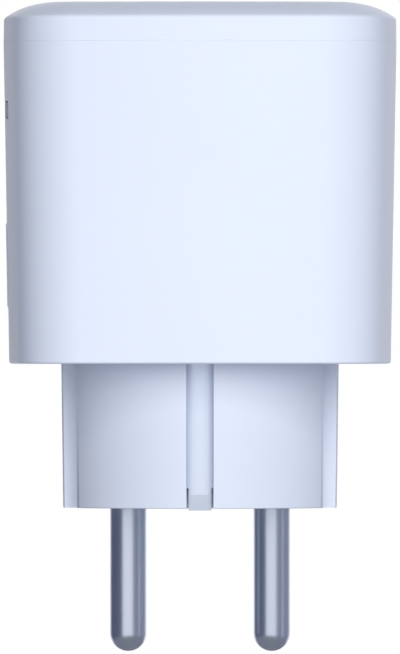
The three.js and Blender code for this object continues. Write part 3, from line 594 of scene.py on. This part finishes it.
post_radius = 0.0023
for node in ("cassette_screw_front", "cassette_screw_back"):
    screw_low, screw_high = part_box(node)
    post = (screw_low + screw_high) / 2
    start = (post.x, post.y, floor_low.z)
    cut(well_floor, round_bar(post_radius, start, (post.x, post.y, in_plate), 32), "UNION")
clip_slot_half = 0.0028
clip_slot_y = 0.0187
over_floor = well_floor_z + clear
for side in (-1, 1):
    hole_x = side * pin_x
    cut(well_floor, round_bar(contact_hole, (hole_x, 0, under_floor), (hole_x, 0, over_floor), 64))
    clip_y = span(side, clip_slot_y, well_outer + clear)
    slot_low = (-clip_slot_half, clip_y[0], under_floor)
    slot_high = (clip_slot_half, clip_y[1], over_floor)
    cut(well_floor, slab(slot_low, slot_high))
funnel_radius = 0.0005
bevel_edges(
    well_floor,
    funnel_radius,
    3,
    lambda p: abs(p.z - well_floor_z) < hair
    and abs(math.hypot(abs(p.x) - pin_x, p.y) - contact_hole) < 5 * hair,
)
finish_piece(well_floor, "well_floor", "meter", "socket_floor", shell_plastic)

# Plug body
# The round earthed plug of slightly less glossy white plastic, tapering a little towards its face;
# its white is dimmed a little below the case's as painted shade.
# A round bar with pockets and a guide groove at each side, earth grooves, and a flange in the case.
base_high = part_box("plug_base")[1]
plug_face_radius = 0.0183
groove_floor_x = 0.01615
guide_half = 0.00275
ear_half = 0.0039
pocket_half = 0.009
pin_bore = 0.00246
strip_low, strip_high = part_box("plug_earth_strip_back")
groove_gap = 0.00003
groove_deeper = 0.00015
slit_depth = 0.002
tongue_top = 0.0027
flange_rise = 0.00215
flange_height = 0.002
face_edge_radius = 0.00015
pocket_fillet = 0.0003
strip_half = strip_high.x + groove_gap
plug = round_bar(plug_face_radius, (0, 0, 0), (0, 0, back_z), 144)
bpy.ops.object.mode_set(mode="EDIT")
choose(plug, "faces", lambda p: abs(p.z - back_z) < hair)
root_ratio = plug_root_radius / plug_face_radius
bpy.ops.transform.resize(value=(root_ratio, root_ratio, 1), center_override=(0, 0, 0))
draw_up(wall + flange_rise)
bpy.ops.object.mode_set(mode="OBJECT")
bevel_edges(plug, face_edge_radius, 3, lambda p: abs(p.z) < hair)
for side in (-1, 1):
    pocket_x = span(side, groove_floor_x, plug_root_radius + clear)
    for low_y, high_y in (
        (-pocket_half, -ear_half),
        (-guide_half, guide_half),
        (ear_half, pocket_half),
    ):
        tool = slab((pocket_x[0], low_y, -clear), (pocket_x[1], high_y, back_z))
        bevel_edges(
            tool,
            pocket_fillet,
            2,
            lambda p: abs(abs(p.x) - groove_floor_x) < hair and abs(p.z - back_z / 2) < clear,
        )
        cut(plug, tool)
    bore_x = side * pin_x
    cut(plug, round_bar(pin_bore, (bore_x, 0, -clear), (bore_x, 0, base_high.z + clear), 48))
    groove_y = span(side, strip_low.y - groove_deeper, plug_root_radius + clear)
    groove = slab((-strip_half, groove_y[0], -clear), (strip_half, groove_y[1], back_z))
    cut(plug, groove)
    slit_y = span(side, strip_low.y - slit_depth, strip_high.y)
    cut(plug, slab((-strip_half, slit_y[0], -clear), (strip_half, slit_y[1], tongue_top)))
flange_gap = 0.0003
flange_low_z = back_z + wall + flange_rise - flange_height
flange = rounded_square(half_back, wall + flange_gap, flange_low_z)
draw_up(flange_height)
face_outwards()
bpy.ops.object.mode_set(mode="OBJECT")
flange_bore = plug_root_radius - flange_gap
cut(flange, round_bar(flange_bore, (0, 0, back_z), (0, 0, base_high.z), 144))
cut(plug, flange, "UNION")
boss_radius = 0.0026
boss_bore = 0.00125
for node in ("board_screw_front_left", "board_screw_front_right", "board_screw_back_left"):
    screw_low, screw_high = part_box(node)
    axis = (screw_low + screw_high) / 2
    boss_foot = (axis.x, axis.y, flange_low_z + flange_height / 2)
    boss = round_bar(boss_radius, boss_foot, (axis.x, axis.y, base_high.z), 48)
    cut(plug, boss, "UNION")
    screw_tip = (axis.x, axis.y, screw_low.z - flange_gap)
    cut(plug, round_bar(boss_bore, screw_tip, (axis.x, axis.y, base_high.z + clear), 32))
# The case's white dimmed a little: painted shade on the plug and the button.
white_with_painted_shade = (0.755, 0.805, 0.895)
plug_plastic = moulded("plug_plastic", white_with_painted_shade, 0.46)
finish_piece(plug, "plug_body", "meter", "plug_base", plug_plastic)

# Pins
# Two solid round pins, bright nickel plated, with fully rounded tips and a collar inside the case.
# One profile with its rounded tip is spun about the pin's own axis, once for each pin.
def plated(name, colour, roughness, metal=1.0):
    """Bright plating: faint clouds in its gloss and fine drawn lines along Z."""
    line_depth = 0.000001
    finish = Finish(name, {"Metallic": metal, "Base Color": colour})
    clouds = finish.noise(240, 3)
    along_z = {"Vector": finish.place(), "Scale": (1, 1, 0.02)}
    stretched = finish.node("ShaderNodeMapping", None, along_z)
    fine = {"Vector": stretched, "Scale": 9000.0, "Detail": 2.0}
    lines = finish.node("ShaderNodeTexNoise", None, fine)
    gloss = roughness - 0.03 + clouds * 0.05 + lines * 0.03
    finish.feed(finish.surface.inputs["Roughness"], gloss)
    finish.bump(lines, line_depth)
    return finish.material


pin_low, pin_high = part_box("pin_right")
pin_radius = 0.0024
collar_radius = 0.0036
tail_radius = 0.0016
collar_height = 0.0015
collar_bottom = back_z + wall + flange_rise + groove_deeper
nickel = plated("pin_nickel", (0.62, 0.675, 0.8), 0.3)
for side, name, node in ((1, "right_pin", "pin_right"), (-1, "left_pin", "pin_left")):
    axis_x = side * pin_x
    pin = first_point((axis_x, 0, pin_low.z))
    bpy.ops.mesh.spin(
        steps=14,
        angle=math.radians(90),
        center=(axis_x, 0, pin_low.z + pin_radius),
        axis=(0, 1, 0),
    )
    for move in (
        (0, 0, collar_bottom - pin_low.z - pin_radius),
        (collar_radius - pin_radius, 0, 0),
        (0, 0, collar_height),
        (tail_radius - collar_radius, 0, 0),
        (0, 0, pin_high.z - collar_bottom - collar_height),
        (-tail_radius, 0, 0),
    ):
        bpy.ops.mesh.extrude_region_move(TRANSFORM_OT_translate={"value": move})
    bpy.ops.mesh.select_all(action="SELECT")
    bpy.ops.mesh.spin(steps=64, angle=math.tau, center=(axis_x, 0, 0), axis=(0, 0, 1))
    bpy.ops.mesh.select_all(action="SELECT")
    bpy.ops.mesh.remove_doubles(threshold=hair / 2)
    face_outwards()
    bpy.ops.object.mode_set(mode="OBJECT")
    finish_piece(pin, name, "meter", node, nickel)

# Earth strips
# The plug's earth contacts, satin nickel strips with an arched face, in its front and back grooves.
# An arc is swung across the face, drawn back and up, sloped at its end and notched by the tongue.
strip_metal = plated("strip_nickel", (0.735, 0.795, 0.9), 0.5, 0.5)
tongue_half = 0.0015
slope_top = 0.00185
end_share = 0.2
face_drop = 0.00035
behind_arch = 0.0002
strip_steps = 16
for side, name, node in (
    (-1, "front_earth_strip", "plug_earth_strip_front"),
    (1, "back_earth_strip", "plug_earth_strip_back"),
):
    low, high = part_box(node)
    face_y = low.y if side < 0 else high.y
    back_y = high.y if side < 0 else low.y
    arch = (high.x**2 + face_drop**2) / (2 * face_drop)
    strip = first_point((high.x, face_y - side * face_drop, low.z))
    bpy.ops.mesh.spin(
        steps=strip_steps,
        angle=2 * math.asin(high.x / arch),
        center=(0, face_y - side * arch, 0),
        axis=(0, 0, -side),
    )
    bpy.ops.mesh.select_all(action="SELECT")
    bpy.ops.mesh.extrude_region_move(TRANSFORM_OT_translate={"value": (0, -side * behind_arch, 0)})
    bpy.ops.transform.resize(value=(1, 0, 1), center_override=(0, back_y, 0))
    bpy.ops.mesh.select_all(action="SELECT")
    draw_up(slope_top - low.z)
    draw_up(high.z - slope_top)
    choose(strip, "verts", lambda p: p.z < low.z + hair)
    bpy.ops.transform.resize(value=(1, end_share, 1), center_override=(0, back_y, 0))
    face_outwards()
    bpy.ops.object.mode_set(mode="OBJECT")
    for beside in (-1, 1):
        notch_x = span(beside, tongue_half, high.x + clear)
        notch_low = (notch_x[0], low.y - clear, low.z - clear)
        cut(strip, slab(notch_low, (notch_x[1], high.y + clear, tongue_top)))
    finish_piece(strip, name, "meter", node, strip_metal, 10)

# Push button
# A flat round button of white plastic in the left wall, whose face follows the wall; its white is
# dimmed a little below the case's as painted shade.
# A round bar trimmed to the case's form, a tenth of a millimetre proud, on a flange and a post.
button_proud = 0.00012
button_flange_radius = button_high.y
button_flange_x = (-0.0231, -0.0221)
button_post_radius = 0.002
button_edge_radius = 0.0002
button_plastic = moulded("button_plastic", white_with_painted_shade, 0.38)
button_seat = (sum(button_flange_x) / 2, 0, button_z)
button = round_bar(button_radius, (outside_x, 0, button_z), button_seat, 96)
cut(button, case_form(-button_proud, back_z + wall, parting_z), "INTERSECT")
bevel_edges(
    button,
    button_edge_radius,
    3,
    lambda p: p.x < -half_back
    and abs(math.hypot(p.y, p.z - button_z) - button_radius) < 4 * hair,
)
flange_start, flange_end = ((x, 0, button_z) for x in button_flange_x)
cut(button, round_bar(button_flange_radius, flange_start, flange_end, 64), "UNION")
post = round_bar(button_post_radius, button_seat, (button_high.x, 0, button_z), 32)
cut(button, post, "UNION")
finish_piece(button, "press_button", "button", "push_button", button_plastic)

# Indicator window
# A slim bar of frosted grey plastic level with the left wall, and the stem that brings it light.
# A block trimmed to the case's own form, joined to a shoulder, a flat stem and a foot.
bar_inset = 0.00003
shoulder_inset = 0.00006
shoulder_half = 0.0052
shoulder_reach = window_gap - bar_inset
stem_half = 0.0025
stem_x = -half_back + wall
stem_thickness = 0.0013
foot_height = 0.002
frosting = 0.000003
smoke = Finish("window_plastic", {"IOR": 1.4, "Specular IOR Level": 0.2})
haze = smoke.noise(900, 3)
greys = smoke.mix(haze, (0.46, 0.51, 0.59), (0.51, 0.56, 0.64))
smoke.feed(smoke.surface.inputs["Base Color"], greys)
smoke.feed(smoke.surface.inputs["Roughness"], 0.5 + haze * 0.08)
smoke.bump(smoke.noise(4200, 2), frosting)
window_bottom = window_top - window_height
bar_back = stem_x + stem_thickness
bar_low = (outside_x, -window_half_width, window_bottom)
bar = slab(bar_low, (bar_back, window_half_width, window_top))
cut(bar, case_form(bar_inset, back_z + wall, parting_z), "INTERSECT")
shoulder = slab(
    (outside_x, -shoulder_half, window_bottom - shoulder_reach),
    (bar_back - bar_inset, shoulder_half, window_top + shoulder_reach),
)
cut(shoulder, case_form(shoulder_inset, back_z + wall, parting_z), "INTERSECT")
cut(bar, shoulder, "UNION")
stem_top = window_top - window_height / 2
stem = slab((stem_x, -stem_half, pipe_low.z), (bar_back - bar_inset, stem_half, stem_top))
cut(bar, stem, "UNION")
foot_top = pipe_low.z + foot_height
foot_low = (stem_x + bar_inset, -stem_half + bar_inset, pipe_low.z)
cut(bar, slab(foot_low, (pipe_high.x, stem_half, foot_top)), "UNION")
finish_piece(
    bar, "light_pipe", "meter", "indicator_light_pipe", smoke.material, 25
)

# Earth clips
# Springy nickel-plated strips at the well's front and back, bent inwards to meet a plug's strips.
# A path of points is drawn sideways into a ribbon, given its thickness and softened at its edges.
clip_metal = plated("clip_nickel", (0.66, 0.69, 0.75), 0.28)
clip_thickness = 0.0008
leg_y = 0.0194
head_y = 0.017
leg_height = 0.031
head_height = 0.0394
head_flat_half = 0.0004
lower_bend_out = 0.0004
lower_bend_drop = 0.0014
upper_bend_out = 0.0005
upper_bend_rise = 0.0015
clip_edge_radius = 0.00015
bend_z = back_z + leg_height
head_z = back_z + head_height
for side, name, node in (
    (1, "back_earth_clip", "socket_earth_clip_back"),
    (-1, "front_earth_clip", "socket_earth_clip_front"),
):
    low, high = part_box(node)
    clip = first_point((low.x, side * leg_y, low.z))
    path = (
        (leg_y, bend_z),
        (head_y + lower_bend_out, head_z - lower_bend_drop),
        (head_y, head_z - head_flat_half),
        (head_y, head_z + head_flat_half),
        (head_y + upper_bend_out, head_z + upper_bend_rise),
        (leg_y - clip_thickness / 2, high.z - clip_thickness / 3),
    )
    here = (leg_y, low.z)
    for there in path:
        move = (0, side * (there[0] - here[0]), there[1] - here[1])
        bpy.ops.mesh.extrude_region_move(TRANSFORM_OT_translate={"value": move})
        here = there
    bpy.ops.mesh.select_all(action="SELECT")
    bpy.ops.mesh.extrude_region_move(TRANSFORM_OT_translate={"value": (high.x - low.x, 0, 0)})
    bpy.ops.object.mode_set(mode="OBJECT")
    thick = clip.modifiers.new("thick", "SOLIDIFY")
    thick.thickness = clip_thickness
    thick.offset = 0
    bpy.ops.object.modifier_apply(modifier=thick.name)
    soft = clip.modifiers.new("soft", "BEVEL")
    soft.width = clip_edge_radius
    soft.segments = 2
    soft.limit_method = "ANGLE"
    soft.angle_limit = math.radians(60)
    bpy.ops.object.modifier_apply(modifier=soft.name)
    bpy.ops.object.mode_set(mode="EDIT")
    face_outwards()
    bpy.ops.object.mode_set(mode="OBJECT")
    finish_piece(clip, name, "meter", node, clip_metal, 40)

# Inner plastic parts
# The shutter, its retainer and the switch's plunger, and the coloured cases of the electric parts.
# They keep their constructed shapes and take a moulded finish.
def give(node, material):
    """Gives a constructed piece that carries over its final material."""
    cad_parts[node].data.materials.clear()
    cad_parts[node].data.materials.append(material)


inner_white = moulded("inner_plastic", (0.72, 0.75, 0.79), 0.5)
black = moulded("black_plastic", (0.022, 0.022, 0.025), 0.45)
for node, material in (
    ("shutter", inner_white),
    ("shutter_retainer", inner_white),
    ("switch_plunger", inner_white),
    ("relay", moulded("relay_plastic", (0.03, 0.03, 0.034), 0.32)),
    ("transformer", black),
    ("line_inductor", black),
    ("metering_chip", black),
    ("switch_body", black),
    ("film_capacitor", moulded("film_plastic", (0.62, 0.42, 0.05), 0.4)),
    ("varistor", moulded("varistor_lacquer", (0.02, 0.08, 0.3), 0.35)),
    ("fuse_resistor", moulded("fuse_lacquer", (0.16, 0.34, 0.28), 0.5)),
    ("indicator_lamp", moulded("lamp_resin", (0.8, 0.76, 0.6), 0.35)),
):
    give(node, material)

# Inner metal parts
# Brass contacts and bars, steel screws and springs, aluminium cans and the alloy shunt.
# They keep their constructed shapes and take a plated or drawn finish.
brass = plated("contact_brass", (0.72, 0.52, 0.25), 0.3)
steel = plated("zinc_steel", (0.6, 0.61, 0.63), 0.32)
can_metal = plated("can_aluminium", (0.74, 0.75, 0.77), 0.3)
for node, material in (
    ("socket_contact_left", brass),
    ("socket_contact_right", brass),
    ("earth_bar", brass),
    ("current_shunt", plated("shunt_alloy", (0.55, 0.36, 0.24), 0.38)),
    ("shutter_spring_back", steel),
    ("shutter_spring_front", steel),
    ("cassette_screw_back", steel),
    ("cassette_screw_front", steel),
    ("board_screw_front_left", steel),
    ("board_screw_front_right", steel),
    ("board_screw_back_left", steel),
    ("radio_shield_can", steel),
    ("bulk_capacitor", can_metal),
    ("output_capacitor", can_metal),
):
    give(node, material)

# Circuit boards
# The main board, the control board and the radio module, of glass laminate under green solder mask.
# Copper tracks show through the mask as slightly lighter, raised bands.
mask = Finish("solder_mask", {"IOR": 1.5, "Specular IOR Level": 0.5, "Roughness": 0.35})
tracks = mask.node(
    "ShaderNodeTexBrick",
    None,
    {
        "Vector": mask.place(),
        "Color1": (0, 0, 0),
        "Color2": (0, 0, 0),
        "Mortar": (1, 1, 1),
        "Scale": 260.0,
        "Mortar Size": 0.03,
    },
    "Fac",
)
greens = mask.mix(tracks, (0.008, 0.075, 0.035), (0.03, 0.15, 0.07))
mask.feed(mask.surface.inputs["Base Color"], greens)
track_height = 0.00003
mask.bump(tracks, track_height)
for node in ("main_board", "control_board", "radio_module"):
    give(node, mask.material)
